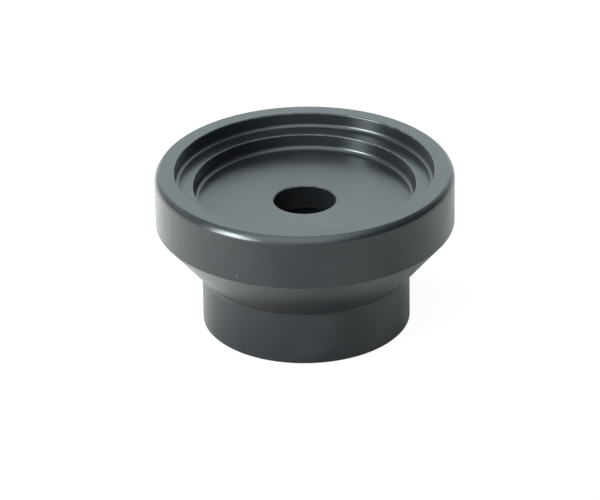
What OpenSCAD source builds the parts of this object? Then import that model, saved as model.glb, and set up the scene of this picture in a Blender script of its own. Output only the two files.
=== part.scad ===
// Laser collimator: a turned, flanged cup on a two-inch barrel.
// The beam leaves upwards through the aperture in the recessed face. The barrel end is the
// service end: battery cap, two fine tilt screws and the fixed pivot of the laser carrier.
// Origin: centre of the barrel's end face. +Z runs up the axis, towards the beam.

/* [Housing] */
// Diameter of the flange
flange_d = 72.8; // [71:0.1:76]
// Overall height
housing_h = 39.7; // [39.5:0.1:41]
// Height of the flange's outer wall, edge round included
flange_h = 13.4; // [12:0.1:14]
// Axial size of the round on the flange's top edge
edge_h = 2.1; // [1.7:0.1:2.4]
// Radial size of the round on the flange's top edge
edge_w = 1.25; // [0.8:0.05:1.4]
// Diameter of the barrel
barrel_d = 50.8; // [50.7:0.05:51]
// Straight length of the barrel, below the cone
barrel_len = 13.2; // [12:0.2:14]
// Diameter of the shallow outer recess
recess_d = 63; // [60:0.2:64]
// Depth of the outer recess below the rim
recess_depth = 3.75; // [2.8:0.05:3.8]
// Diameter of the inner recess
socket_d = 53.9; // [51:0.1:55]
// Depth of the inner recess below the ledge
socket_depth = 3.9; // [3.4:0.1:4.1]
// How much lower the dished face is at the aperture than at its foot
face_dish = 0.5; // [0.1:0.1:0.6]
// Diameter of the aperture that the beam leaves through
aperture_d = 15; // [14:0.5:18]
// Length of the aperture's guiding bore, above its wider relief
aperture_len = 6; // [4:0.5:6.5]

/* [Chamber] */
// Diameter of the chamber that holds the laser
chamber_d = 44; // [43.5:0.1:44.6]
// Height of the chamber's ceiling above the barrel end
chamber_top = 22; // [21.5:0.1:22.4]
// Diameter of the threaded bore for the rear plate
plate_d = 45.5; // [45.3:0.1:46]
// Thickness of the rear plate
plate_t = 4; // [3.8:0.1:4.2]
// Depth of the rear plate inside the barrel end
skirt_depth = 2.6; // [2.5:0.1:2.9]

/* [Battery] */
// Diameter of the coin cell
cell_d = 20; // [19.6:0.1:20.2]
// Thickness of the coin cell
cell_t = 3.2; // [2.5:0.1:3.2]
// Diameter of the cap's thread
cap_thread_d = 22; // [21.8:0.1:22.4]
// Diameter of the cap's head
cap_head_d = 25; // [24.6:0.1:25.4]

/* [Tilt adjustment] */
// Distance of each support ball from the beam axis, along X and along Y
ball_offset = 11.7; // [11.4:0.1:12]
// Diameter of the support balls
ball_d = 3; // [2.6:0.1:3.2]
// Diameter of the tilt screws
screw_d = 4; // [3.8:0.1:4.2]
// Diameter of the carrier plate
carrier_d = 41; // [39:0.5:42]

/* [Laser module] */
// Diameter of the laser body
laser_d = 9.9; // [9.5:0.1:10.5]
// Height of the laser body's front face above the barrel end
laser_top = 24; // [23.8:0.1:24.4]
// Diameter of the collimating lens
lens_d = 5.4; // [5:0.1:5.6]

/* [Hidden] */
$fn = 96;

// Small sizes shared by several pieces
fit = 0.05;          // radial clearance of a running or screwed fit
touch = 0.03;        // gap left where two pieces rest on each other
fine = 0.3;          // edge break on turned edges
over = 1;            // how far a cutting tool runs past a face

// Housing
flange_r = flange_d / 2;
barrel_r = barrel_d / 2;
recess_r = recess_d / 2;
socket_r = socket_d / 2;
aperture_r = aperture_d / 2;
relief_r = aperture_r + 0.7;
wall_bottom = housing_h - flange_h;
ledge_z = housing_h - recess_depth;
face_z = ledge_z - socket_depth;
middle_z = face_z - face_dish;
outer_foot_r = 1;    // where the outer recess wall meets the ledge
inner_foot_r = 1.2;  // where the inner recess wall meets the recessed face
ledge_edge_r = 0.3;
neck_fillet = 2;     // where the cone runs into the barrel
edge_arc_r = (edge_w * edge_w + edge_h * edge_h) / (2 * edge_w);
plate_z = skirt_depth;
plate_top = plate_z + plate_t;
spring_pocket = 1;

// Rear plate, battery and cap
head_t = 1.2;
cap_head_r = cap_head_d / 2;
cap_thread_r = cap_thread_d / 2;
neck_top = plate_top - 0.2;
groove_w = 1;
groove_depth = 1;
o_ring_r = 0.47;
slot_w = 2;
slot_depth = 1.3;
collar_r = 13.5;
sleeve_r = 11.6;
sleeve_wall = 1.25;
cell_z = plate_top + 0.4;
cell_top = cell_z + cell_t;
sleeve_top = cell_top + 1;
sleeve_cover = 0.6;
collar_top = sleeve_top + 0.2;
spanner_r = 19;
spanner_hole_r = 1.25;

// Laser module, from the board upwards
board_t = 0.8;
board_r = 4.6;
board_z = cell_top + 2;
body_z = board_z + board_t;
laser_r = laser_d / 2;
diode_z = body_z + 2;
diode_flange_r = 2.8;
diode_flange_t = 1.2;
diode_can_r = 1.78;
diode_can_h = 2.3;
pin_r = 0.22;
pin_circle_r = 1;
step_z = diode_z + diode_flange_t;
step_t = 0.6;
front_bore_r = 3.6;
lens_barrel_z = step_z + step_t + 2.8;
lens_barrel_top = laser_top - 0.2;
lens_barrel_r = front_bore_r - fit;
lens_r = lens_d / 2;
lens_seat_z = lens_barrel_z + 0.8;
lens_edge_t = 1.1;
lens_crown = 0.8;
stop_z = lens_seat_z + 2;
stop_t = 0.5;
stop_hole_r = 1.2;

// Carrier and its supports
carrier_r = carrier_d / 2;
carrier_z = body_z;
carrier_t = 3;
carrier_top = carrier_z + carrier_t;
hub_r = 7.6;
hub_top = carrier_top + 4.4;
ball_r = ball_d / 2;
ball_z = carrier_z - 0.6;
screw_r = screw_d / 2;
screw_z = plate_z + 0.3;
post_top = ball_z - 0.8;
cone_reach = (ball_r + fit) * sqrt(2);  // from a ball's centre to the tip of its 90 degree seat
hex_af = 2;
hex_depth = 2.2;
set_screw_r = 1.25;
set_screw_z = (carrier_top + hub_top) / 2;
set_screw_angle = 45;

// Springs
spring_r = 2.3;      // mean radius of a return spring
spring_wire_r = 0.25;
spring_offset = 15;
spring_z = carrier_top - 0.8;
spring_len = chamber_top + spring_pocket - spring_z;
lens_spring_r = 3.1;
lens_spring_wire_r = 0.2;

// Points of a circle round a coil's centre line, at one place along it
function coil_ring(r0, r1, wire_r, z0, rise, turns, t, sides) =
    let (a = 360 * turns * t, r = r0 + (r1 - r0) * t, z = z0 + rise * t)
    [for (i = [0:sides - 1]) let (b = 360 * i / sides, q = r + wire_r * cos(b))
        [q * cos(a), q * sin(a), z + wire_r * sin(b)]];

// A coil spring between z0 and z0 + len. Its radius runs from r0 to r1.
module coil(r0, r1, wire_r, z0, len, turns, sides = 8, steps_per_turn = 18) {
    steps = ceil(turns * steps_per_turn);
    points = [for (k = [0:steps])
        each coil_ring(r0, r1, wire_r, z0 + wire_r, len - 2 * wire_r, turns, k / steps, sides)];
    sleeve = [for (k = [0:steps - 1], i = [0:sides - 1]) let (j = (i + 1) % sides)
        [k * sides + i, (k + 1) * sides + i, (k + 1) * sides + j, k * sides + j]];
    start_cap = [for (i = [0:sides - 1]) i];
    end_cap = [for (i = [sides - 1:-1:0]) steps * sides + i];
    polyhedron(points, concat([start_cap], sleeve, [end_cap]));
}

// Outline of the round at the foot of a bore of radius r, for rotate_extrude
module foot_fillet(r, z, f) {
    difference() {
        translate([r - f, z]) square([f, f]);
        translate([r - f, z + f]) circle(f);
    }
}

// Outline of a straight-sided region of revolution
module band(r0, r1, z0, z1) {
    translate([r0, z0]) square([r1 - r0, z1 - z0]);
}

// A ring or disc
module disc(r, z0, z1) {
    translate([0, 0, z0]) cylinder(r = r, h = z1 - z0);
}

// Seat for a ball: a 90 degree cone, mouth at mouth_z, opening up (+1) or down (-1)
module cone_seat(mouth_z, opens) {
    tip_z = ball_z - opens * cone_reach;
    depth = abs(mouth_z - tip_z) + over;
    translate([0, 0, tip_z]) rotate([opens > 0 ? 0 : 180, 0, 0])
        cylinder(r1 = 0, r2 = depth, h = depth);
}

module at_pivot() { translate([-ball_offset, -ball_offset, 0]) children(); }
module at_screw_x() { translate([ball_offset, -ball_offset, 0]) children(); }
module at_screw_y() { translate([-ball_offset, ball_offset, 0]) children(); }

// Outer outline of the housing: barrel, cone and flange
module housing_outline() {
    difference() {
        union() {
            polygon([[0, 0], [barrel_r - fine, 0], [barrel_r, fine], [barrel_r, barrel_len],
                [flange_r - fine / 2, wall_bottom], [flange_r, wall_bottom + fine / 2],
                [flange_r, housing_h - edge_h], [flange_r - edge_arc_r, housing_h - edge_h],
                [flange_r - edge_arc_r, housing_h], [0, housing_h]]);
            intersection() {
                translate([flange_r - edge_arc_r, housing_h - edge_h]) circle(edge_arc_r);
                band(flange_r - edge_arc_r, flange_r, housing_h - edge_h, housing_h);
            }
        }
        // Edge break inside the rim
        translate([recess_r, housing_h]) rotate(45) square(fine, center = true);
    }
    // Fillet between the cone and the barrel
    slope = atan2(flange_r - barrel_r, wall_bottom - barrel_len);
    reach = neck_fillet * tan(slope / 2);
    difference() {
        polygon([[barrel_r - fine, barrel_len - reach], [barrel_r, barrel_len - reach],
            [barrel_r + reach * sin(slope), barrel_len + reach * cos(slope)],
            [barrel_r - fine, barrel_len + reach]]);
        translate([barrel_r + neck_fillet, barrel_len - reach]) circle(neck_fillet);
    }
}

// Everything that is bored out of the housing
module housing_bores() {
    difference() {
        band(-over, recess_r, ledge_z, housing_h + over);
        foot_fillet(recess_r, ledge_z, outer_foot_r);
    }
    difference() {
        band(-over, socket_r, face_z, ledge_z + over);
        foot_fillet(socket_r, face_z, inner_foot_r);
    }
    // Rounded edge between the ledge and the inner recess
    difference() {
        band(socket_r - over, socket_r + ledge_edge_r, ledge_z - ledge_edge_r, ledge_z + over);
        translate([socket_r + ledge_edge_r, ledge_z - ledge_edge_r]) circle(ledge_edge_r);
    }
    // Dished face, aperture and the aperture's relief
    polygon([[0, middle_z], [aperture_r, middle_z], [socket_r - inner_foot_r, face_z],
        [socket_r - inner_foot_r, face_z + touch], [0, face_z + touch]]);
    band(-over, aperture_r, chamber_top - over, face_z);
    band(-over, relief_r, chamber_top - over, middle_z - aperture_len);
    translate([aperture_r, middle_z]) rotate(45) square(fine * sqrt(2), center = true);
    band(-over, chamber_d / 2, plate_top - over, chamber_top);
    band(-over, plate_d / 2, -over, plate_top);
    translate([plate_d / 2, 0]) rotate(45) square(fine, center = true);
}

module housing() {
    color([0.07, 0.07, 0.08]) difference() {
        rotate_extrude() intersection() {
            difference() { housing_outline(); housing_bores(); }
            band(0, flange_r + over, 0, housing_h);
        }
        for (p = [[0, -spring_offset], [-spring_offset, 0]])
            translate(p) disc(spring_r + spring_wire_r + 0.3, chamber_top - over,
                chamber_top + spring_pocket);
    }
}

// Disc that closes the barrel, with the collar that surrounds the battery
module rear_plate() {
    color([0.09, 0.09, 0.1]) difference() {
        union() {
            disc(plate_d / 2 - fit, plate_z, plate_top);
            disc(collar_r, plate_z, collar_top);
        }
        disc(cap_head_r + 2 * fit, plate_z - over, plate_z + head_t + fit);
        disc(cap_thread_r, plate_z, plate_top);
        disc(sleeve_r, plate_top, collar_top + over);
        at_screw_x() disc(screw_r, plate_z - over, plate_top + over);
        at_screw_y() disc(screw_r, plate_z - over, plate_top + over);
        at_pivot() disc(screw_r, plate_z + over, plate_top + over);
        for (a = [0, 180]) rotate(a) translate([spanner_r, 0, 0])
            disc(spanner_hole_r, plate_z - over, plate_z + 2);
    }
}

// Insulating cup between the coin cell and the collar
module battery_sleeve() {
    color([0.85, 0.85, 0.8]) difference() {
        disc(sleeve_r - fit / 2, plate_top + touch, sleeve_top);
        disc(sleeve_r - sleeve_wall, plate_top - over, sleeve_top - sleeve_cover);
        disc(board_r + 0.8, plate_top, sleeve_top + over);
    }
}

// Coin cell: the wide can with its narrower lid facing down
module coin_cell() {
    color([0.75, 0.75, 0.77]) rotate_extrude() difference() {
        union() {
            band(0, cell_d / 2 - 1.3, cell_z, cell_top);
            band(0, cell_d / 2, cell_z + 0.35, cell_top);
        }
        translate([cell_d / 2, cell_top]) rotate(45) square(fine, center = true);
    }
}

// Screwed cap with a coin slot, which also switches the laser on and off
module battery_cap() {
    color([0.08, 0.08, 0.09]) difference() {
        union() {
            disc(cap_head_r, plate_z, plate_z + head_t);
            disc(cap_thread_r - fit, plate_z + head_t, neck_top);
        }
        translate([0, 0, plate_z + head_t + 0.1]) difference() {
            cylinder(r = cap_thread_r + over, h = groove_w);
            translate([0, 0, -over])
                cylinder(r = cap_thread_r - groove_depth, h = groove_w + 2 * over);
        }
        translate([0, 0, plate_z]) cube([cap_head_d - 5, slot_w, 2 * slot_depth], center = true);
        disc(7, neck_top - 0.4, neck_top + over);
    }
}

module cap_o_ring() {
    ring_r = cap_thread_r - touch - o_ring_r;
    color([0.05, 0.05, 0.05]) translate([0, 0, plate_z + head_t + 0.1 + groove_w / 2])
        rotate_extrude() translate([ring_r, 0]) circle(o_ring_r, $fn = 32);
}

// Sprung contact disc in the cap's recess
module cap_contact() {
    disc_z = neck_top - 0.4 + touch;
    color([0.8, 0.65, 0.35]) rotate_extrude() {
        band(0, 6.6, disc_z, disc_z + 0.3);
        band(2.2, 4.2, disc_z + 0.3, cell_z - touch);
    }
}

// Post or screw shank with a ball cup in its upper end
module cupped_shank(r, z0) {
    difference() {
        union() {
            disc(r, z0 + fine, post_top);
            translate([0, 0, z0]) cylinder(r1 = r - fine, r2 = r, h = fine);
        }
        cone_seat(post_top, 1);
    }
}

module pivot_post() {
    color([0.7, 0.7, 0.72]) at_pivot() cupped_shank(screw_r - fit / 2, plate_z + over + touch);
}

module support_ball() {
    translate([0, 0, ball_z]) sphere(ball_r);
}

module pivot_ball() { color([0.85, 0.85, 0.87]) at_pivot() support_ball(); }
module tilt_ball_x() { color([0.85, 0.85, 0.87]) at_screw_x() support_ball(); }
module tilt_ball_y() { color([0.85, 0.85, 0.87]) at_screw_y() support_ball(); }

// Fine-thread screw with a hexagon socket in its lower end
module tilt_screw() {
    difference() {
        cupped_shank(screw_r - fit, screw_z);
        translate([0, 0, screw_z - over])
            cylinder(r = hex_af / sqrt(3), h = hex_depth + over, $fn = 6);
    }
}

module tilt_screw_x() { color([0.3, 0.3, 0.32]) at_screw_x() tilt_screw(); }
module tilt_screw_y() { color([0.3, 0.3, 0.32]) at_screw_y() tilt_screw(); }

// Plate and hub that carry the laser. A cone, a groove and a flat rest on the three balls.
module tilt_carrier() {
    groove_len = 5;
    color([0.78, 0.78, 0.8]) difference() {
        union() {
            disc(carrier_r, carrier_z, carrier_top);
            disc(hub_r, carrier_top, hub_top);
        }
        disc(laser_r + fit, carrier_z - over, hub_top + over);
        at_pivot() cone_seat(carrier_z, -1);
        at_screw_x() translate([0, 0, ball_z]) rotate([45, 0, 0])
            cube([groove_len, 2 * (ball_r + fit), 2 * (ball_r + fit)], center = true);
        at_screw_y() disc(ball_r + 0.7, carrier_z - over, ball_z + ball_r + fit);
        for (p = [[0, -spring_offset], [-spring_offset, 0]])
            translate(p) disc(spring_r + spring_wire_r + 0.3, spring_z, carrier_top + over);
        rotate(set_screw_angle) translate([0, 0, set_screw_z]) rotate([0, 90, 0])
            cylinder(r = set_screw_r, h = hub_r + over);
    }
}

// Set screw that locks the laser in the hub
module carrier_set_screw() {
    tip = laser_r + touch;
    len = hub_r - 0.3 - tip;
    color([0.3, 0.3, 0.32]) rotate(set_screw_angle) translate([tip, 0, set_screw_z])
        rotate([0, 90, 0]) difference() {
            cylinder(r = set_screw_r - fit, h = len);
            translate([0, 0, len - 1]) cylinder(r = 1.25 / sqrt(3), h = 1 + over, $fn = 6);
        }
}

// Two springs that hold the carrier down on its balls
module return_springs() {
    color([0.6, 0.6, 0.62]) for (p = [[0, -spring_offset], [-spring_offset, 0]])
        translate(p) coil(spring_r, spring_r, spring_wire_r, spring_z + touch,
            spring_len - 2 * touch, 6);
}

// Brass body of the laser module, which conducts the diode's heat and current
module laser_body() {
    color([0.78, 0.6, 0.3]) rotate_extrude() difference() {
        band(0, laser_r, body_z, laser_top);
        band(-over, diode_flange_r + fit, body_z - over, step_z);
        band(-over, 2.2, step_z - over, laser_top);
        band(-over, front_bore_r, step_z + step_t, laser_top + over);
        translate([laser_r, laser_top]) rotate(45) square(fine, center = true);
    }
}

// Laser diode: header flange, can and three pins
module laser_diode() {
    color([0.8, 0.75, 0.6]) union() {
        disc(diode_flange_r, diode_z, step_z - touch);
        disc(diode_can_r, step_z - 2 * touch, step_z + diode_can_h);
        for (a = [90, 210, 330]) rotate(a) translate([pin_circle_r, 0, 0])
            disc(pin_r, board_z - 0.3, diode_z + touch, $fn = 24);
    }
}

module lens_spring() {
    z0 = step_z + step_t + touch;
    color([0.65, 0.65, 0.67])
        coil(lens_spring_r, lens_spring_r, lens_spring_wire_r, z0, lens_barrel_z - touch - z0, 4);
}

// Threaded cell that holds the lens and sets its focus
module lens_barrel() {
    slot = 0.7;
    color([0.1, 0.1, 0.11]) difference() {
        rotate_extrude() difference() {
            band(0, lens_barrel_r, lens_barrel_z, lens_barrel_top);
            band(-over, lens_r - 0.6, lens_barrel_z - over, lens_barrel_top);
            band(-over, lens_r + fit, lens_seat_z, lens_barrel_top + over);
        }
        translate([0, 0, lens_barrel_top])
            cube([2 * lens_barrel_r + over, slot, 2 * slot], center = true);
    }
}

// Plano-convex lens, crown upwards
module collimating_lens() {
    crown_r = (lens_r * lens_r + lens_crown * lens_crown) / (2 * lens_crown);
    edge_z = lens_seat_z + touch + lens_edge_t;
    color([0.75, 0.8, 0.9, 0.5]) rotate_extrude() {
        band(0, lens_r, lens_seat_z + touch, edge_z);
        intersection() {
            translate([0, edge_z + lens_crown - crown_r]) circle(crown_r);
            band(0, lens_r, edge_z - touch, edge_z + lens_crown);
        }
    }
}

module aperture_stop() {
    color([0.05, 0.05, 0.05]) rotate_extrude()
        band(stop_hole_r, lens_r + fit / 2, stop_z, stop_z + stop_t);
}

// Round circuit board behind the diode
module driver_board() {
    color([0.1, 0.35, 0.2]) difference() {
        disc(board_r, board_z, body_z - touch);
        for (a = [90, 210, 330]) rotate(a) translate([pin_circle_r, 0, 0])
            disc(pin_r + 0.1, board_z - over, body_z + over, $fn = 24);
    }
}

module driver_chip() {
    color([0.1, 0.1, 0.1]) translate([0, 3.55, board_z - 0.45 - touch])
        cube([2.6, 1.2, 0.9], center = true);
}

module driver_resistor() {
    color([0.15, 0.15, 0.18]) translate([0, -3.6, board_z - 0.25 - touch])
        cube([1.6, 0.8, 0.5], center = true);
}

// Conical spring from the board to the middle of the coin cell
module contact_spring() {
    color([0.85, 0.7, 0.4])
        coil(1.2, 2.4, 0.2, cell_top + touch, board_z - cell_top - 2 * touch, 3);
}

housing();
rear_plate();
battery_sleeve();
coin_cell();
battery_cap();
cap_o_ring();
cap_contact();
pivot_post();
pivot_ball();
tilt_screw_x();
tilt_ball_x();
tilt_screw_y();
tilt_ball_y();
tilt_carrier();
carrier_set_screw();
return_springs();
laser_body();
laser_diode();
lens_spring();
lens_barrel();
collimating_lens();
aperture_stop();
driver_board();
driver_chip();
driver_resistor();
contact_spring();
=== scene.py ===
"""Laser collimator: the looks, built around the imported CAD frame.

Everything is in metres in the CAD frame; the tables of sizes below are in millimetres and go
through MM. The object stands on the barrel's end at z = 0, with its axis on +Z.
"""
import math

import bpy
from mathutils import Matrix, Vector
from mathutils.geometry import delaunay_2d_cdt


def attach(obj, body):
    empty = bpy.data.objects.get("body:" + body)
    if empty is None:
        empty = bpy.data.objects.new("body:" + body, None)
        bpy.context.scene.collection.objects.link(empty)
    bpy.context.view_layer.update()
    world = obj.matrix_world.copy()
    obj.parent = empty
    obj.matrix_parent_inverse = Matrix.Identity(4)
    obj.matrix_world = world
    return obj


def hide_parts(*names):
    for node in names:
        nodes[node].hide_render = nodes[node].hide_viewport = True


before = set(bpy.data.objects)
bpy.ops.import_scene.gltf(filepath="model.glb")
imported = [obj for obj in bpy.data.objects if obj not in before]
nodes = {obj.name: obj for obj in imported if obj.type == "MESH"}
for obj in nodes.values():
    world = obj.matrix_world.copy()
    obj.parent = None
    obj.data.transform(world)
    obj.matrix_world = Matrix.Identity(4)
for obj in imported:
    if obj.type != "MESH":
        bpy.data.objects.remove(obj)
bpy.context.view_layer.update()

MM = 0.001
TAU = 2 * math.pi
scene = bpy.context.scene

# ------------------------------------------------------------------ camera
CAM_DISTANCE = 1038 * MM
CAM_ELEVATION = math.radians(28.44)
CAM_ROLL = math.radians(-0.95)
CAM_TARGET = Vector((-1.36, 0, 17.73)) * MM
CAM_LENS = 252.86


def make_camera():
    data = bpy.data.cameras.new("camera")
    data.lens, data.sensor_width = CAM_LENS, 36.0
    data.clip_start, data.clip_end = 0.02, 20
    cam = bpy.data.objects.new("camera", data)
    scene.collection.objects.link(cam)
    cam.location = CAM_DISTANCE * Vector((0, -math.cos(CAM_ELEVATION), math.sin(CAM_ELEVATION)))
    look = (CAM_TARGET - cam.location).normalized()
    right = look.cross(Vector((0, 0, 1))).normalized()
    up = right.cross(look)
    cam.rotation_mode = "QUATERNION"
    rolled = right * math.cos(CAM_ROLL) + up * math.sin(CAM_ROLL)
    rows = (rolled, rolled.cross(look), -look)
    cam.rotation_quaternion = Matrix(rows).transposed().to_quaternion()
    scene.camera = cam


# ------------------------------------------------------------------ node trees
class Tree:
    """A short way to write node trees. Inputs are sockets, numbers or tuples."""

    def __init__(self, owner):
        owner.use_nodes = True
        self.tree = owner.node_tree
        self.tree.nodes.clear()

    def put(self, kind, *inputs, out=0, **settings):
        node = self.tree.nodes.new("ShaderNode" + kind)
        named = {k: v for k, v in settings.items() if k.startswith("in_")}
        for key, value in settings.items():
            if key not in named:
                setattr(node, key, value)
        for socket, value in zip(node.inputs, inputs):
            self.feed(socket, value)
        for key, value in named.items():
            self.feed(node.inputs[key[3:].replace("__", " ")], value)
        return node.outputs[out] if out is not None else node

    def feed(self, socket, value):
        if value is None:
            return
        if isinstance(value, bpy.types.NodeSocket):
            self.tree.links.new(value, socket)
        elif isinstance(value, tuple) and socket.type == "RGBA":
            socket.default_value = (*value, 1)[:4]
        else:
            socket.default_value = value

    def math(self, op, a, b=None, c=None, clamp=False):
        return self.put("Math", a, b, c, operation=op, use_clamp=clamp)

    def vec(self, op, a, b=None, out=0):
        return self.put("VectorMath", a, b, operation=op, out=out)

    def ramp(self, value, low, high, to_low=0.0, to_high=1.0, smooth=True):
        kind = "SMOOTHSTEP" if smooth else "LINEAR"
        return self.put("MapRange", value, low, high, to_low, to_high,
                        interpolation_type=kind)

    def noise(self, at, scale, detail=2.0, rough=0.5):
        return self.put("TexNoise", in_Vector=at, in_Scale=scale, in_Detail=detail,
                        in_Roughness=rough)

    def blend(self, factor, a, b):
        node = self.put("Mix", out=None, data_type="RGBA")
        self.feed(node.inputs[0], factor)
        self.feed(node.inputs[6], a)
        self.feed(node.inputs[7], b)
        return node.outputs[2]


# ------------------------------------------------------------------ studio
FLOOR_HOLE = 24.9 * MM      # hidden under the barrel, so that the underside gets light
FLOOR_REACH = 3.0
PAINTED_LEFT_LIGHT = 0.96          # radiance of the painted light: the floor glows brighter towards the left, standing in for light falling from the left
KEY_PLACE, KEY_AIM = Vector((-0.62, 0.25, 0.36)), Vector((0, 0, 0.02))
KEY_SIZE, KEY_POWER = 0.22, 8.0
FLOOR_GLOW, GLOW_SHARE = 1.08, 0.86     # the floor as the camera sees it
WORLD_BASE = (0.45, 0.75)   # radiance below and above the horizon
# Direction, half width in degrees, extra radiance
WORLD_LOBES = (
    ((0.0, 0.88, 0.45), 62, 1.22),
    ((-0.08, -0.62, 0.78), 62, 2.4),
    ((-0.80, -0.59, 0.07), 20, 28.0),
    ((-0.77, -0.46, 0.43), 12, 32.0),
)
# Direction, half width in degrees, share taken away
WORLD_SHADES = (
    ((0.97, -0.25, 0.10), 68, 0.85),
)


def make_world():
    world = bpy.data.worlds.new("studio")
    scene.world = world
    t = Tree(world)
    way = t.put("TexCoord", out=0)
    split = t.put("SeparateXYZ", way, out=None)
    x, y, z = split.outputs

    def lobe(direction, spread_deg, strength):
        aim = Vector(direction).normalized()
        near = t.vec("DOT_PRODUCT", way, tuple(aim), out=1)
        return t.math("MULTIPLY", t.ramp(near, math.cos(math.radians(spread_deg)), 1.0),
                      strength)

    level = t.ramp(z, -0.1, 0.35, *WORLD_BASE)
    for direction, spread, strength in WORLD_LOBES:
        level = t.math("ADD", level, lobe(direction, spread, strength))
    for direction, spread, share in WORLD_SHADES:
        level = t.math("MULTIPLY", level,
                       t.math("SUBTRACT", 1.0, lobe(direction, spread, share)))
    tint = t.blend(t.ramp(z, -0.1, 0.3), (1.0, 0.985, 0.96), (0.86, 1.0, 1.02))
    lit = t.put("Background", tint, level)
    seen = t.put("Background", (1.0, 1.0, 1.0), 1.0)
    both = t.put("MixShader", t.put("LightPath", out=0), lit, seen)
    t.tree.links.new(both, t.put("OutputWorld", out=None).inputs[0])


def make_floor():
    """A pale floor with its middle left open under the barrel. The camera sees it nearly white."""
    rings, steps = (FLOOR_HOLE, 0.2, FLOOR_REACH), 96
    points = [(r * math.cos(TAU * j / steps), r * math.sin(TAU * j / steps), 0)
              for r in rings for j in range(steps)]
    faces = [(k * steps + j, (k + 1) * steps + j, (k + 1) * steps + (j + 1) % steps,
              k * steps + (j + 1) % steps) for k in range(len(rings) - 1) for j in range(steps)]
    mesh = bpy.data.meshes.new("floor")
    mesh.from_pydata(points, [], faces)
    floor = bpy.data.objects.new("floor", mesh)
    scene.collection.objects.link(floor)
    paper = bpy.data.materials.new("floor_paper")
    t = Tree(paper)
    at = t.put("TexCoord", out=3)
    pale = t.blend(t.noise(at, 60.0, 3.0), (0.40, 0.385, 0.375), (0.44, 0.425, 0.415))
    matt = t.put("BsdfDiffuse", pale, 0.4)
    glow = t.put("Emission", (1.0, 1.0, 1.0), FLOOR_GLOW)
    camera_share = t.math("MULTIPLY", t.put("LightPath", out=0), GLOW_SHARE)
    top = t.put("MixShader", camera_share, matt, glow)
    # painted light: the floor glows brighter towards the left, a painted pool of light standing in
    # for light that falls from the left, outside the camera's view
    place = t.put("SeparateXYZ", at, out=None)
    leftward = t.ramp(place.outputs[0], 0.0, -0.10)
    painted_left_light = t.put("Emission", (1.0, 1.0, 0.99), t.math("MULTIPLY", leftward, PAINTED_LEFT_LIGHT))
    top = t.put("AddShader", top, painted_left_light)
    clear = t.put("BsdfTransparent", (1.0, 1.0, 1.0))
    from_below = t.put("NewGeometry", out=6)
    t.tree.links.new(t.put("MixShader", from_below, top, clear),
                     t.put("OutputMaterial", out=None).inputs[0])
    mesh.materials.append(paper)


def make_key():
    """The main light: it shapes the floor's shadow, and the world makes the reflections."""
    data = bpy.data.lights.new("key", "AREA")
    data.shape, data.size, data.size_y = "RECTANGLE", KEY_SIZE, KEY_SIZE
    data.energy, data.color = KEY_POWER, (1.0, 0.99, 0.97)
    key = bpy.data.objects.new("key", data)
    scene.collection.objects.link(key)
    key.location = KEY_PLACE
    key.rotation_mode = "QUATERNION"
    key.rotation_quaternion = (KEY_PLACE - KEY_AIM).to_track_quat("Z", "Y")
    key.visible_glossy = False


# ------------------------------------------------------------------ meshes
ARC_STEP = math.radians(7)
WEAR_REACH = (0.12, 0.45)   # mm from an edge at which the wear value is sampled


class Outline:
    """An (r, z) outline in mm, walked with the solid on the left."""

    def __init__(self, r, z):
        self.spans, self.r, self.z = [], r, z

    def line(self, r, z, tag=None, cuts=0):
        dr, dz = r - self.r, z - self.z
        size = math.hypot(dr, dz)
        n = (dz / size, -dr / size)
        stops = {0.0, 1.0}
        for d in WEAR_REACH:
            if size > 3 * d:
                stops |= {d / size, 1 - d / size}
        stops |= {k / (cuts + 1) for k in range(1, cuts + 1)}
        pts = [(self.r + dr * s, self.z + dz * s, *n) for s in sorted(stops)]
        self.spans.append((tag, pts))
        self.r, self.z = r, z
        return self

    def arc(self, r, z, cr, cz):
        """Round to (r, z) about the centre (cr, cz), the short way."""
        a0 = math.atan2(self.z - cz, self.r - cr)
        turn = (math.atan2(z - cz, r - cr) - a0 + math.pi) % TAU - math.pi
        radius = math.hypot(self.r - cr, self.z - cz)
        steps = max(3, math.ceil(abs(turn) / ARC_STEP))
        side = 1 if turn > 0 else -1
        pts = []
        for k in range(steps + 1):
            a = a0 + turn * k / steps
            pts.append((cr + radius * math.cos(a), cz + radius * math.sin(a),
                        side * math.cos(a), side * math.sin(a)))
        pts[-1] = (r, z, *pts[-1][2:])
        self.spans.append(("bead" if side > 0 else "hollow", pts))
        self.r, self.z = r, z
        return self


def circle(cx, cy, radius, sides=48):
    def shape(grow):
        q = radius + grow
        angles = [TAU * k / sides for k in range(sides)]
        return [(cx + q * math.cos(a), cy + q * math.sin(a)) for a in angles]
    return shape


def hexagon(cx, cy, across):
    def shape(grow):
        q = (across / 2 + grow) / math.cos(math.pi / 6)
        angles = [TAU * (k + 0.5) / 6 for k in range(6)]
        return [(cx + q * math.cos(a), cy + q * math.sin(a)) for a in angles]
    return shape


def long_slot(half_len, half_wide, corner, sides=5):
    def shape(grow):
        pts = []
        for sx, sy, a0 in ((1, 1, 0), (-1, 1, 90), (-1, -1, 180), (1, -1, 270)):
            for k in range(sides + 1):
                a = math.radians(a0 + 90 * k / sides)
                q = corner + grow
                pts.append((sx * (half_len - corner) + q * math.cos(a),
                            sy * (half_wide - corner) + q * math.sin(a)))
        return pts
    return shape


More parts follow.
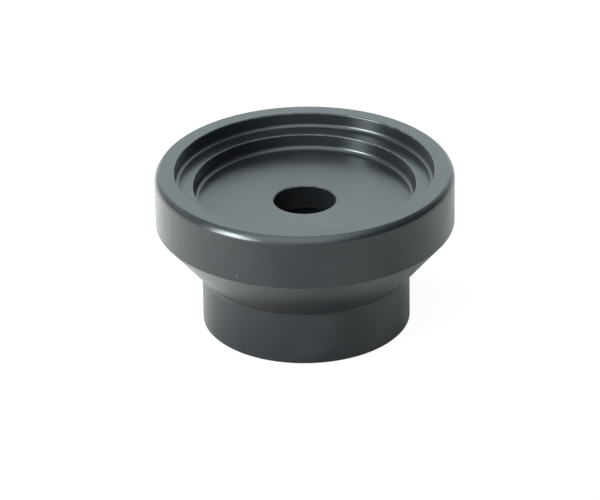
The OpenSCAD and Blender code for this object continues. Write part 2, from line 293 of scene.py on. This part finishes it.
class Body:
    """Collects vertices, faces and corner normals, then makes one object."""

    def __init__(self):
        self.points, self.wear, self.faces, self.normals = [], [], [], []

    def add(self, xyz, wear=0.0):
        self.points.append(tuple(xyz))
        self.wear.append(wear)
        return len(self.points) - 1

    def face(self, corners, normals):
        self.faces.append(tuple(corners))
        self.normals.extend(normals)

    def build(self, name, body, node, look, slot=None):
        """Makes the piece, which rides on a body, replaces a CAD node and has a finish."""
        mesh = bpy.data.meshes.new(name)
        mesh.from_pydata([[c * MM for c in p] for p in self.points], [], self.faces)
        mesh.polygons.foreach_set("use_smooth", [True] * len(self.faces))
        mesh.normals_split_custom_set(self.normals)
        mesh.attributes.new("wear", "FLOAT", "POINT").data.foreach_set("value", self.wear)
        piece = bpy.data.objects.new(name, mesh)
        scene.collection.objects.link(piece)
        mesh.materials.append(finish[look])
        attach(piece, body)
        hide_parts(node)


def turned(outline, pockets=(), steps=128, centre=(0, 0), relief=None):
    """A Body from an outline turned about a vertical axis.

    Each pocket is (shape, z from, z to, lip). A pocket opens in every flat ring whose z is its
    z from or z to, and it is closed at z to where no ring is there.
    relief(r, z, angle) moves the points of spans tagged "thread" in or out.
    """
    body = Body()
    cx, cy = centre
    spans = outline.spans
    rings, where = [], {}
    cos = [math.cos(TAU * j / steps) for j in range(steps)]
    sin = [math.sin(TAU * j / steps) for j in range(steps)]

    def ring(r, z, wear, shift):
        key = (round(r, 5), round(z, 5))
        if key in where:
            index = where[key]
            if wear and r > 1e-6:
                for v in rings[index]:
                    body.wear[v] = max(body.wear[v], wear)
            return rings[index]
        if r < 1e-6:
            made = [body.add((cx, cy, z), wear)] * steps
        else:
            made = []
            for j in range(steps):
                q = r + (shift(r, z, TAU * j / steps) if shift else 0)
                made.append(body.add((cx + q * cos[j], cy + q * sin[j], z), wear))
        where[key] = len(rings)
        rings.append(made)
        return made

    count = len(spans)
    flat_z = []
    for s, (tag, pts) in enumerate(spans):
        before, after = spans[s - 1][1][-1], spans[(s + 1) % count][1][0]
        flat = abs(pts[0][1] - pts[-1][1]) < 1e-6
        opened = flat and any(abs(pts[0][1] - z) < 1e-6 for p in pockets for z in p[1:3])
        made = []
        for k, (r, z, nr, nz) in enumerate(pts):
            wear = 1.0 if tag == "bead" and outline_radius(pts) < 1.0 else 0.0
            if k == 0 and convex(before, pts[0]):
                wear = 1.0
            if k == len(pts) - 1 and convex(pts[-1], after):
                wear = 1.0
            inner = 0 < k < len(pts) - 1
            made.append(ring(r, z, wear, relief if tag == "thread" and inner else None))
        strips = range(len(pts) - 1)
        if opened:
            # narrow strips keep the wear at the ring's edges, and the middle is filled later
            low = 0 if pts[0][0] < 1e-6 else 1
            high = len(pts) - (1 if pts[-1][0] < 1e-6 else 2)
            flat_z.append((pts[0][1], pts[0][3], made[low], made[high], pts[low][0],
                           pts[high][0]))
            strips = [*range(low), *range(high, len(pts) - 1)]
        for k in strips:
            a, b = made[k], made[k + 1]
            (ra, za, na, ma), (rb, zb, nb, mb) = pts[k], pts[k + 1]
            for j in range(steps):
                i = (j + 1) % steps
                corners = [(a[j], na, ma, j), (a[i], na, ma, i), (b[i], nb, mb, i),
                           (b[j], nb, mb, j)]
                if ra < 1e-6:
                    corners = [corners[0], corners[2], corners[3]]
                elif rb < 1e-6:
                    corners = [corners[0], corners[1], corners[2]]
                if tag == "thread":
                    normals = [thread_normal(ra if c in a else rb, za if c in a else zb,
                                             TAU * q / steps, relief) for c, _, _, q in corners]
                else:
                    normals = [(n * cos[q], n * sin[q], m) for _, n, m, q in corners]
                body.face([c[0] for c in corners], normals)
    for z, up, first, last, r0, r1 in flat_z:
        fill_ring(body, z, up, first if r0 > 1e-6 else None, last if r1 > 1e-6 else None,
                  pockets, centre)
    for shape, z0, z1, lip in pockets:
        through = any(abs(z - z1) < 1e-6 for z, *_ in flat_z)
        cut_pocket(body, shape, z0, z1, lip, through, centre)
    return body


def outline_radius(pts):
    """Radius of an arc span, from its ends and its turn."""
    (r0, z0, n0, m0), (r1, z1, n1, m1) = pts[0], pts[-1]
    turn = math.acos(max(-1, min(1, n0 * n1 + m0 * m1)))
    return math.hypot(r1 - r0, z1 - z0) / (2 * math.sin(turn / 2)) if turn > 1e-3 else 99


def convex(a, b):
    """True where the outline turns by more than 25 degrees round the outside of the solid."""
    turn = math.atan2(a[2] * b[3] - a[3] * b[2], a[2] * b[2] + a[3] * b[3])
    return turn > math.radians(25)


def thread_normal(r, z, a, relief, d=0.01):
    slope_z = (relief(r, z + d, a) - relief(r, z - d, a)) / (2 * d)
    slope_a = (relief(r, z, a + d) - relief(r, z, a - d)) / (2 * d * r)
    n = Vector((math.cos(a) + slope_a * math.sin(a), math.sin(a) - slope_a * math.cos(a),
                -slope_z)).normalized()
    return tuple(n)


def fill_ring(body, z, up, first, last, pockets, centre):
    """Triangles of a flat ring between two circles of vertices, less the pockets' mouths."""
    loops = [list(ring) for ring in (first, last) if ring]
    tops = []
    for shape, z0, z1, lip in pockets:
        if min(abs(z - z0), abs(z - z1)) < 1e-6:
            tops.append([body.add((centre[0] + x, centre[1] + y, z))
                         for x, y in shape(lip)])
    where, flat, edges = [], [], []
    for loop in loops + tops:
        base = len(flat)
        for k, v in enumerate(loop):
            where.append(v)
            flat.append(Vector(body.points[v][:2]))
            edges.append((base + k, base + (k + 1) % len(loop)))
    result = delaunay_2d_cdt(flat, edges, [], 0, 1e-5)
    origin = result[3]
    radii = sorted(math.hypot(body.points[l[0]][0] - centre[0], body.points[l[0]][1] - centre[1])
                   for l in loops)
    low, high = (radii[0], radii[-1]) if len(loops) == 2 else (0, radii[0])
    mouths = [[Vector(body.points[v][:2]) for v in top] for top in tops]
    for tri in result[2]:
        mid = sum((result[0][v] for v in tri), Vector((0, 0))) / len(tri)
        off = (mid - Vector(centre)).length
        if not low < off < high or any(inside(mid, m) for m in mouths):
            continue
        corners = [where[origin[v][0]] for v in tri]
        p = [Vector(body.points[v]) for v in corners[:3]]
        if (p[1] - p[0]).cross(p[2] - p[0]).z * up < 0:
            corners.reverse()
        body.face(corners, [(0, 0, up)] * len(corners))


def inside(p, loop):
    odd = False
    for a, b in zip(loop, loop[1:] + loop[:1]):
        if (a.y > p.y) != (b.y > p.y) and p.x < (b.x - a.x) * (p.y - a.y) / (b.y - a.y) + a.x:
            odd = not odd
    return odd


def cut_pocket(body, shape, z0, z1, lip, through, centre):
    """Lips, wall and floor of a pocket that runs from its mouth at z0 to z1."""
    way = 1 if z1 > z0 else -1
    levels = [(z0, lip), (z0 + way * lip, 0.0)] if lip else [(z0, 0.0)]
    levels += [(z1 - way * lip, 0.0), (z1, lip)] if through and lip else [(z1, 0.0)]
    loops = []
    for z, grow in levels:
        wear = 1.0 if grow else 0.0
        loops.append([body.add((centre[0] + x, centre[1] + y, z), wear) for x, y in shape(grow)])
    count = len(loops[0])
    plan = shape(0)
    flats = count <= 8
    edge_n = []
    for k in range(count):
        (xa, ya), (xb, yb) = plan[k], plan[(k + 1) % count]
        size = math.hypot(xb - xa, yb - ya)
        edge_n.append((-(yb - ya) / size, (xb - xa) / size))
    point_n = [tuple(Vector((edge_n[k - 1][0] + edge_n[k][0], edge_n[k - 1][1] + edge_n[k][1]))
                     .normalized()) for k in range(count)]
    for (za, ga), (zb, gb), low, high in zip(levels, levels[1:], loops, loops[1:]):
        tilt = math.atan2(gb - ga, abs(zb - za))
        for k in range(count):
            i = (k + 1) % count
            pair = (edge_n[k], edge_n[k]) if flats else (point_n[k], point_n[i])
            n = [(x * math.cos(tilt), y * math.cos(tilt), way * math.sin(tilt))
                 for x, y in pair]
            corners, normals = [low[k], low[i], high[i], high[k]], [n[0], n[1], n[1], n[0]]
            if way > 0:
                corners.reverse()
                normals.reverse()
            body.face(corners, normals)
    if not through:
        floor = [body.add(body.points[v]) for v in loops[-1]]
        if way > 0:
            floor.reverse()
        body.face(floor, [(0, 0, -way)] * count)


# ------------------------------------------------------------------ materials
def machined(name, colour, roughness, metallic=0.0, ior=1.5, centre=(0, 0), pitch=0.22,
             groove=0.6, grain=0.35, worn=(0.3, 0.3, 0.32), wear=0.35, from_mesh=True,
             rough_span=0.10, specks=0.0, ripple=0.3, colour_span=0.25):
    """A turned and finished surface: rings from the tool, fine grain, uneven gloss, worn edges."""
    made = bpy.data.materials.new(name)
    t = Tree(made)
    at = t.put("TexCoord", out=3)
    split = t.put("SeparateXYZ", at, out=None)
    dx = t.math("SUBTRACT", split.outputs[0], centre[0] * MM)
    dy = t.math("SUBTRACT", split.outputs[1], centre[1] * MM)
    r = t.math("SQRT", t.math("ADD", t.math("MULTIPLY", dx, dx), t.math("MULTIPLY", dy, dy)))
    reach = t.math("ADD", r, t.math("MULTIPLY", split.outputs[2], 0.83))
    track = t.put("CombineXYZ", t.math("MULTIPLY", reach, 1 / (pitch * MM)), 0.0, 0.0)
    rings = t.noise(track, 1.0, 3.0, 0.7)
    fine = t.noise(at, 9000.0, 3.0, 0.6)
    cloud = t.noise(at, 130.0, 4.0, 0.6)
    streak = t.noise(t.put("CombineXYZ", t.math("MULTIPLY", reach, 900.0), 0.0, 0.0), 1.0, 2.0)

    if from_mesh:
        edge = t.put("Attribute", out=2, attribute_name="wear", attribute_type="GEOMETRY")
    else:
        soft = t.put("Bevel", 0.00018, samples=4)
        normal = t.put("NewGeometry", out=1)
        edge = t.math("SUBTRACT", 1.0, t.vec("DOT_PRODUCT", soft, normal, out=1))
        edge = t.ramp(edge, 0.02, 0.3)
    rubbed = t.math("MULTIPLY", t.ramp(edge, 0.35, 1.0),
                    t.ramp(t.noise(at, 700.0, 4.0, 0.6), 0.30, 0.80))
    rubbed = t.math("MULTIPLY", rubbed, wear)

    shade = t.ramp(t.math("ADD", t.math("MULTIPLY", cloud, 0.6), t.math("MULTIPLY", streak, 0.4)),
                   0.35, 0.65, smooth=False)
    dark = tuple(c * (1 - colour_span) for c in colour)
    light = tuple(min(1, c * (1 + colour_span)) for c in colour)
    tone = t.blend(shade, dark, light)
    tone = t.blend(rubbed, tone, worn)
    gloss = t.math("ADD", t.math("MULTIPLY", t.math("SUBTRACT", cloud, 0.5), rough_span),
                   t.math("MULTIPLY", t.math("SUBTRACT", rings, 0.5), rough_span))
    gloss = t.math("ADD", gloss, t.math("MULTIPLY", t.math("SUBTRACT", fine, 0.5),
                                        rough_span * 0.5))
    gloss = t.math("ADD", gloss, roughness, clamp=True)
    if specks:
        cells = t.put("TexVoronoi", in_Vector=at, in_Scale=430.0, feature="F1", out=None)
        near = t.ramp(cells.outputs[0], 0.03, 0.08, 1.0, 0.0)
        rare = t.ramp(t.put("SeparateColor", cells.outputs[1]), 0.955, 0.96)
        dust = t.math("MULTIPLY", t.math("MULTIPLY", near, rare), specks)
        tone = t.blend(dust, tone, (0.55, 0.53, 0.50))
    height = t.math("ADD", t.math("MULTIPLY", rings, groove), t.math("MULTIPLY", fine, grain))
    height = t.math("ADD", height, t.math("MULTIPLY", t.noise(at, 2400.0, 2.0), ripple))
    bumped = t.put("Bump", in_Strength=1.0, in_Distance=0.000004, in_Height=height)
    lit = t.put("BsdfPrincipled", in_Base__Color=tone, in_Roughness=gloss, in_Normal=bumped,
                in_Metallic=metallic, in_IOR=ior)
    t.tree.links.new(lit, t.put("OutputMaterial", out=None).inputs[0])
    return made


BLACK = (0.0076, 0.0080, 0.0096)


# ------------------------------------------------------------------ housing
BARREL_R, BARREL_TOP = 25.4, 13.2
FLANGE_R, RIM_Z, WALL_Z = 36.4, 39.7, 26.3
EDGE_W, EDGE_H = 1.25, 2.1
RECESS_R, LEDGE_Z, SOCKET_R, FACE_Z, DISH = 31.5, 35.95, 26.95, 32.05, 0.5
INNER_ROUND, LEDGE_ROUND, HOLE_LIP = 0.3, 0.3, 0.25
FOOT_OUT, FOOT_IN = 1.0, 1.2
APERTURE_R, CHAMBER_R, CHAMBER_TOP, BORE_R, PLATE_TOP = 7.5, 22, 22, 22.75, 6.6
NECK_ROUND = 2.0
PLATE_THREAD, CAP_THREAD, SCREW_PITCH, THREAD_DEPTH = 0.75, 0.75, 0.5, 0.28


def housing_outline():
    o = Outline(BARREL_R - 0.3, 0)
    o.line(BARREL_R, 0.3)
    # barrel, fillet and cone
    slope = math.atan2(FLANGE_R - BARREL_R, WALL_Z - BARREL_TOP)
    reach = NECK_ROUND * math.tan(slope / 2)
    o.line(BARREL_R, BARREL_TOP - reach, cuts=3)
    o.arc(BARREL_R + reach * math.sin(slope), BARREL_TOP + reach * math.cos(slope),
          BARREL_R + NECK_ROUND, BARREL_TOP - reach)
    o.line(FLANGE_R - 0.15, WALL_Z, cuts=2)
    # flange with its rounded edge
    o.line(FLANGE_R, WALL_Z + 0.15)
    o.line(FLANGE_R, RIM_Z - EDGE_H, cuts=3)
    edge_r = (EDGE_W ** 2 + EDGE_H ** 2) / (2 * EDGE_W)
    o.arc(FLANGE_R - EDGE_W, RIM_Z, FLANGE_R - edge_r, RIM_Z - EDGE_H)
    o.line(RECESS_R + INNER_ROUND, RIM_Z, cuts=1)
    o.arc(RECESS_R, RIM_Z - INNER_ROUND, RECESS_R + INNER_ROUND, RIM_Z - INNER_ROUND)
    # stepped recess
    o.line(RECESS_R, LEDGE_Z + FOOT_OUT)
    o.arc(RECESS_R - FOOT_OUT, LEDGE_Z, RECESS_R - FOOT_OUT, LEDGE_Z + FOOT_OUT)
    o.line(SOCKET_R + LEDGE_ROUND, LEDGE_Z, cuts=1)
    o.arc(SOCKET_R, LEDGE_Z - LEDGE_ROUND, SOCKET_R + LEDGE_ROUND, LEDGE_Z - LEDGE_ROUND)
    o.line(SOCKET_R, FACE_Z + FOOT_IN)
    o.arc(SOCKET_R - FOOT_IN, FACE_Z, SOCKET_R - FOOT_IN, FACE_Z + FOOT_IN)
    # the face is slightly dished: its middle is lower than its foot
    middle = FACE_Z - DISH
    o.line(APERTURE_R + HOLE_LIP, middle, cuts=5)
    # aperture and its relief
    o.line(APERTURE_R, middle - HOLE_LIP)
    o.line(APERTURE_R, middle - 6)
    o.line(APERTURE_R + 0.7, middle - 6)
    o.line(APERTURE_R + 0.7, CHAMBER_TOP)
    # chamber, shoulder and threaded bore
    o.line(CHAMBER_R, CHAMBER_TOP)
    o.line(CHAMBER_R, PLATE_TOP)
    o.line(BORE_R, PLATE_TOP)
    o.line(BORE_R, 0.2, "thread", cuts=76)
    o.line(BORE_R + 0.2, 0)
    o.line(BARREL_R - 0.3, 0)
    return o


# ------------------------------------------------------------------ rear plate and battery
PLATE_Z, PLATE_R, COLLAR_R, COLLAR_TOP = 2.6, 22.7, 13.5, 11.4
HEAD_R, HEAD_TOP, NECK_R, NECK_TOP = 12.5, 3.8, 10.95, 6.4
BALL_OFFSET, BALL_Z, POST_TOP, SEAT_REACH = 11.7, 12.4, 11.6, 1.55 * math.sqrt(2)
PIVOT = (-BALL_OFFSET, -BALL_OFFSET)
SCREW_X, SCREW_Y = (BALL_OFFSET, -BALL_OFFSET), (-BALL_OFFSET, BALL_OFFSET)
SPANNER_X, SPRING_WELL_R = 19, 2.85
SPRING_WELLS = ((0, -15), (-15, 0))


def thread(pitch, depth):
    """A helical V groove with a flat crest: relief into or out of the surface, in mm."""
    def relief(r, z, a):
        place = (z / pitch - a / TAU) % 1.0
        return depth * min(1.0, max(0.0, 1.6 - 3.2 * abs(place - 0.5)))
    return relief


def inward(pitch, depth):
    """The same groove cut into an outside surface."""
    groove = thread(pitch, depth)
    return lambda r, z, a: -groove(r, z, a)


def rear_plate_outline():
    o = Outline(PLATE_R - 0.25, PLATE_Z)
    o.line(PLATE_R, PLATE_Z + 0.25)
    o.line(PLATE_R, PLATE_TOP - 0.25, "thread", cuts=40)
    o.line(PLATE_R - 0.25, PLATE_TOP)
    o.line(COLLAR_R, PLATE_TOP)
    o.line(COLLAR_R, COLLAR_TOP - 0.15)
    o.line(COLLAR_R - 0.15, COLLAR_TOP)
    o.line(11.75, COLLAR_TOP)
    o.line(11.6, COLLAR_TOP - 0.15)
    o.line(11.6, PLATE_TOP)
    o.line(11, PLATE_TOP)
    o.line(11, HEAD_TOP + 0.05)
    o.line(HEAD_R + 0.1, HEAD_TOP + 0.05)
    o.line(HEAD_R + 0.1, PLATE_Z + 0.2)
    o.line(HEAD_R + 0.3, PLATE_Z)
    o.line(PLATE_R - 0.25, PLATE_Z)
    return o


def battery_cap_outline():
    o = Outline(0, PLATE_Z)
    o.line(HEAD_R - 0.25, PLATE_Z)
    o.arc(HEAD_R, PLATE_Z + 0.25, HEAD_R - 0.25, PLATE_Z + 0.25)
    o.line(HEAD_R, HEAD_TOP - 0.1)
    o.line(HEAD_R - 0.1, HEAD_TOP)
    o.line(NECK_R, HEAD_TOP)
    o.line(NECK_R, 3.9)
    o.line(10, 3.9)
    o.line(10, 4.9)
    o.line(NECK_R, 4.9)
    o.line(NECK_R, NECK_TOP - 0.2, "thread", cuts=12)
    o.line(NECK_R - 0.2, NECK_TOP)
    o.line(7, NECK_TOP)
    o.line(7, NECK_TOP - 0.4)
    o.line(0, NECK_TOP - 0.4)
    return o


def o_ring_outline(radius, half, z):
    o = Outline(radius + half, z)
    o.arc(radius, z + half, radius, z)
    o.arc(radius - half, z, radius, z)
    o.arc(radius, z - half, radius, z)
    o.arc(radius + half, z, radius, z)
    return o


def contact_outline():
    o = Outline(0, 6.03)
    o.line(6.5, 6.03)
    o.line(6.6, 6.13)
    o.line(6.6, 6.33)
    o.line(4.2, 6.33)
    o.line(3.7, 6.97)
    o.line(2.7, 6.97)
    o.line(2.2, 6.33)
    o.line(0, 6.33)
    return o


def sleeve_outline():
    o = Outline(10.35, 6.63)
    o.line(11.575, 6.63)
    o.line(11.575, 10.9)
    o.arc(11.275, 11.2, 11.275, 10.9)
    o.line(5.4, 11.2)
    o.line(5.4, 10.6)
    o.line(10.35, 10.6)
    o.line(10.35, 6.63)
    return o


def cell_outline():
    o = Outline(0, 7)
    o.line(8.35, 7)
    o.arc(8.7, 7.35, 8.35, 7.35)
    o.line(9.1, 7.35)
    o.line(9.1, 7.45)
    o.line(9.6, 7.4)
    o.arc(10, 7.8, 9.6, 7.8)
    o.line(10, 9.8)
    o.arc(9.6, 10.2, 9.6, 9.8)
    o.line(0, 10.2)
    return o


def shank_outline(radius, z0, tag=None, cuts=0):
    """A post or screw with a ball cup in its upper end."""
    o = Outline(0, z0)
    o.line(radius - 0.3, z0)
    o.line(radius, z0 + 0.3)
    o.line(radius, POST_TOP - 0.2, tag, cuts)
    o.line(radius - 0.2, POST_TOP)
    o.line(SEAT_REACH - BALL_Z + POST_TOP, POST_TOP)
    o.line(0, BALL_Z - SEAT_REACH)
    return o


# ------------------------------------------------------------------ laser module
def laser_body_outline():
    o = Outline(2.85, 13)
    o.line(4.75, 13)
    o.line(4.95, 13.2)
    o.line(4.95, 20.9)
    o.line(4.75, 21.1)
    o.line(4.75, 21.5)
    o.line(4.95, 21.7)
    o.line(4.95, 23.8)
    o.line(4.75, 24)
    o.line(3.8, 24)
    o.line(3.6, 23.8)
    o.line(3.6, 16.8)
    o.line(2.2, 16.8)
    o.line(2.2, 16.2)
    o.line(2.85, 16.2)
    o.line(2.85, 13)
    return o


def lens_outline():
    crown = (2.7 ** 2 + 0.8 ** 2) / 1.6
    o = Outline(0, 20.43)
    o.line(2.62, 20.43)
    o.line(2.7, 20.51)
    o.line(2.7, 21.53)
    o.arc(0, 22.33, 0, 22.33 - crown)
    return o


def stop_outline():
    o = Outline(1.2, 22.4)
    o.line(2.72, 22.4)
    o.line(2.72, 22.9)
    o.line(1.75, 22.9)
    o.line(1.2, 22.5)
    o.line(1.2, 22.4)
    return o


def coil(body, centre, radii, wire, z0, z1, turns, closed=0.75, sides=14, around=40):
    """A coil spring with closed ends. Its mean radius runs from radii[0] to radii[1]."""
    steps = math.ceil(turns * around)
    low, high = z0 + wire, z1 - wire
    pitch = (high - low - 4 * wire * closed) / (turns - 2 * closed)

    def height(n):
        if n < closed:
            return low + 2 * wire * n
        if n > turns - closed:
            return high - 2 * wire * (turns - n)
        return low + 2 * wire * closed + pitch * (n - closed)

    loops = []
    for k in range(steps + 1):
        n = turns * k / steps
        a, r = TAU * n, radii[0] + (radii[1] - radii[0]) * k / steps
        loop = []
        for i in range(sides):
            b = TAU * i / sides
            way = (math.cos(b) * math.cos(a), math.cos(b) * math.sin(a), math.sin(b))
            v = body.add((centre[0] + (r + wire * math.cos(b)) * math.cos(a),
                          centre[1] + (r + wire * math.cos(b)) * math.sin(a),
                          height(n) + wire * math.sin(b)))
            loop.append((v, way))
        loops.append(loop)
    for a, b in zip(loops, loops[1:]):
        for i in range(sides):
            j = (i + 1) % sides
            corners = (a[i], b[i], b[j], a[j])
            body.face([c[0] for c in corners], [c[1] for c in corners])
    for loop, sign in ((loops[0], -1), (loops[-1], 1)):
        at = TAU * turns if sign > 0 else 0.0
        way = (-math.sin(at) * sign, math.cos(at) * sign, 0.0)
        ring = [v for v, _ in loop]
        body.face(ring if sign < 0 else ring[::-1], [way] * sides)


# ------------------------------------------------------------------ other finishes
def moulded(name, colour, roughness, grain_scale=2500.0, bump=0.5, spread=0.15, ior=1.5,
            metallic=0.0, clear=0.0):
    """Plastic, rubber, board or plated metal: mottled tone, uneven gloss and a fine skin."""
    made = bpy.data.materials.new(name)
    t = Tree(made)
    at = t.put("TexCoord", out=3)
    mottle = t.noise(at, 320.0, 4.0, 0.6)
    skin = t.noise(at, grain_scale, 3.0, 0.6)
    dark = tuple(c * (1 - spread) for c in colour)
    light = tuple(min(1, c * (1 + spread)) for c in colour)
    tone = t.blend(t.ramp(mottle, 0.35, 0.65), dark, light)
    gloss = t.math("ADD", t.math("MULTIPLY", t.math("SUBTRACT", mottle, 0.5), 0.18), roughness)
    bumped = t.put("Bump", in_Strength=bump, in_Distance=0.000008, in_Height=skin)
    lit = t.put("BsdfPrincipled", in_Base__Color=tone, in_Roughness=gloss, in_Normal=bumped,
                in_Metallic=metallic, in_IOR=ior, in_Coat__Weight=clear)
    t.tree.links.new(lit, t.put("OutputMaterial", out=None).inputs[0])
    return made


def glass(name):
    """Coated lens glass with faint polishing marks."""
    made = bpy.data.materials.new(name)
    t = Tree(made)
    at = t.put("TexCoord", out=3)
    marks = t.noise(at, 1800.0, 4.0, 0.7)
    gloss = t.ramp(marks, 0.4, 0.8, 0.01, 0.06)
    tone = t.blend(t.noise(at, 250.0), (0.86, 0.93, 0.98), (0.93, 0.96, 1.0))
    bumped = t.put("Bump", in_Strength=0.2, in_Distance=0.000001, in_Height=marks)
    lit = t.put("BsdfPrincipled", in_Base__Color=tone, in_Roughness=gloss, in_Normal=bumped,
                in_IOR=1.52, in_Transmission__Weight=1.0)
    t.tree.links.new(lit, t.put("OutputMaterial", out=None).inputs[0])
    return made


make_camera()
make_world()
make_floor()
make_key()

STEEL, SCREW, BRASS = (0.55, 0.55, 0.56), (0.20, 0.20, 0.21), (0.17, 0.125, 0.065)
finish = {
    "anodised_black": machined("anodised_black", BLACK, 0.24, ior=1.52, specks=0.35, wear=0.10,
                               grain=0.9, groove=0.8, ripple=2.0),
    "anodised_plate": machined("anodised_plate", (0.012, 0.0125, 0.014), 0.30, pitch=0.16,
                               groove=2.0, wear=0.25, colour_span=0.08),
    "anodised_cap": machined("anodised_cap", (0.013, 0.013, 0.015), 0.27, pitch=0.12,
                             groove=2.0, wear=0.30, colour_span=0.08),
    "steel": machined("steel", STEEL, 0.28, 1.0, centre=PIVOT, pitch=0.1),
    "ball_steel": machined("ball_steel", (0.62, 0.62, 0.64), 0.10, 1.0, groove=0.05, grain=0.1,
                           from_mesh=False, rough_span=0.06),
    "screw_x": machined("screw_steel_x", SCREW, 0.32, 1.0, centre=SCREW_X, pitch=0.1),
    "screw_y": machined("screw_steel_y", SCREW, 0.32, 1.0, centre=SCREW_Y, pitch=0.1),
    "set_screw": machined("set_screw_steel", SCREW, 0.34, 1.0, from_mesh=False),
    "carrier_aluminium": machined("carrier_aluminium", (0.085, 0.087, 0.092), 0.34, 1.0,
                                  pitch=0.3, groove=1.0, from_mesh=False,
                                  worn=(0.3, 0.3, 0.31)),
    "spring_steel": machined("spring_steel", (0.42, 0.42, 0.44), 0.25, 1.0, groove=0.1),
    "laser_brass": machined("laser_brass", BRASS, 0.26, 1.0, pitch=0.12, groove=0.9,
                            worn=(0.5, 0.38, 0.2)),
    "lens_cell": machined("lens_cell_black", (0.013, 0.013, 0.015), 0.34, pitch=0.12,
                          from_mesh=False, wear=0.3),
    "stop_black": machined("stop_black", (0.008, 0.008, 0.009), 0.5, pitch=0.1, wear=0.2),
    "cell_steel": machined("cell_steel", (0.52, 0.52, 0.53), 0.24, 1.0, pitch=0.4, groove=0.3),
    "contact_bronze": machined("contact_bronze", (0.66, 0.48, 0.24), 0.30, 1.0, pitch=0.15),
    "diode_gold": moulded("diode_gold", (0.83, 0.62, 0.30), 0.25, metallic=1.0, bump=0.3),
    "sleeve_plastic": moulded("sleeve_plastic", (0.62, 0.61, 0.55), 0.42),
    "o_ring_rubber": moulded("o_ring_rubber", (0.014, 0.014, 0.014), 0.55, bump=0.8),
    "board_green": moulded("board_green", (0.025, 0.12, 0.05), 0.32, clear=0.5),
    "chip_black": moulded("chip_black", (0.018, 0.018, 0.019), 0.45, bump=0.9),
    "lens_glass": glass("lens_glass"),
}


def dress(node, look):
    """Gives a carried-over CAD node its finish."""
    mesh = nodes[node].data
    mesh.materials.clear()
    mesh.materials.append(finish[look])


spring_wells = [(circle(*well, SPRING_WELL_R), CHAMBER_TOP, CHAMBER_TOP + 1, 0)
                for well in SPRING_WELLS]
turned(housing_outline(), spring_wells, steps=320, relief=thread(PLATE_THREAD, THREAD_DEPTH)).build(
    "housing_turned", "housing", "housing", "anodised_black")

plate_pockets = [(circle(*SCREW_X, 2.0), PLATE_Z, PLATE_TOP, 0.2),
                 (circle(*SCREW_Y, 2.0), PLATE_Z, PLATE_TOP, 0.2),
                 (circle(*PIVOT, 2.0), PLATE_TOP, PLATE_Z + 1, 0),
                 (circle(SPANNER_X, 0, 1.25), PLATE_Z, PLATE_Z + 2, 0.15),
                 (circle(-SPANNER_X, 0, 1.25), PLATE_Z, PLATE_Z + 2, 0.15)]
turned(rear_plate_outline(), plate_pockets, steps=240,
       relief=inward(PLATE_THREAD, THREAD_DEPTH)).build(
    "rear_plate_turned", "housing", "rear_plate", "anodised_plate")

coin_slot = (long_slot(10, 1, 0.5), PLATE_Z, PLATE_Z + 1.28, 0.15)
turned(battery_cap_outline(), [coin_slot], steps=200, relief=inward(CAP_THREAD, THREAD_DEPTH)).build(
    "battery_cap_turned", "cap", "battery_cap", "anodised_cap")
turned(o_ring_outline(10.5, 0.47, 4.4), steps=160).build(
    "cap_o_ring_round", "cap", "cap_o_ring", "o_ring_rubber")
turned(contact_outline()).build("cap_contact_pressed", "cap", "cap_contact", "contact_bronze")
turned(sleeve_outline(), steps=160).build(
    "battery_sleeve_moulded", "housing", "battery_sleeve", "sleeve_plastic")
turned(cell_outline(), steps=160).build("coin_cell_can", "cell", "coin_cell", "cell_steel")

turned(shank_outline(1.975, 3.63), steps=64, centre=PIVOT).build(
    "pivot_post_turned", "housing", "pivot_post", "steel")
for side, centre in (("x", SCREW_X), ("y", SCREW_Y)):
    socket = (hexagon(0, 0, 2.0), 2.9, 5.1, 0.12)
    shank = shank_outline(1.95, 2.9, "thread", 120)
    turned(shank, [socket], steps=48, centre=centre, relief=inward(SCREW_PITCH, 0.26)).build(
        "tilt_screw_%s_cut" % side, "screw_" + side, "tilt_screw_" + side, "screw_" + side,
        slot="screw_steel")

turned(laser_body_outline(), steps=112).build(
    "laser_body_turned", "carrier", "laser_body", "laser_brass")
turned(lens_outline(), steps=96).build(
    "collimating_lens_ground", "carrier", "collimating_lens", "lens_glass")
turned(stop_outline(), steps=96).build(
    "aperture_stop_turned", "carrier", "aperture_stop", "stop_black")

springs = Body()
for well in SPRING_WELLS:
    coil(springs, well, (2.3, 2.3), 0.25, 15.23, 22.97, 6)
springs.build("return_springs_wound", "housing", "return_springs", "spring_steel")
spring = Body()
coil(spring, (0, 0), (3.1, 3.1), 0.2, 16.83, 19.57, 4)
spring.build("lens_spring_wound", "carrier", "lens_spring", "spring_steel")
spring = Body()
coil(spring, (0, 0), (1.2, 2.4), 0.2, 10.23, 12.17, 3, closed=0.5)
spring.build("contact_spring_wound", "carrier", "contact_spring", "contact_bronze")

for node, look in (("pivot_ball", "ball_steel"), ("tilt_ball_x", "ball_steel"),
                   ("tilt_ball_y", "ball_steel"), ("tilt_carrier", "carrier_aluminium"),
                   ("carrier_set_screw", "set_screw"), ("lens_barrel", "lens_cell"),
                   ("laser_diode", "diode_gold"), ("driver_board", "board_green"),
                   ("driver_chip", "chip_black"), ("driver_resistor", "chip_black")):
    dress(node, look)

scene.view_settings.view_transform = "Standard"
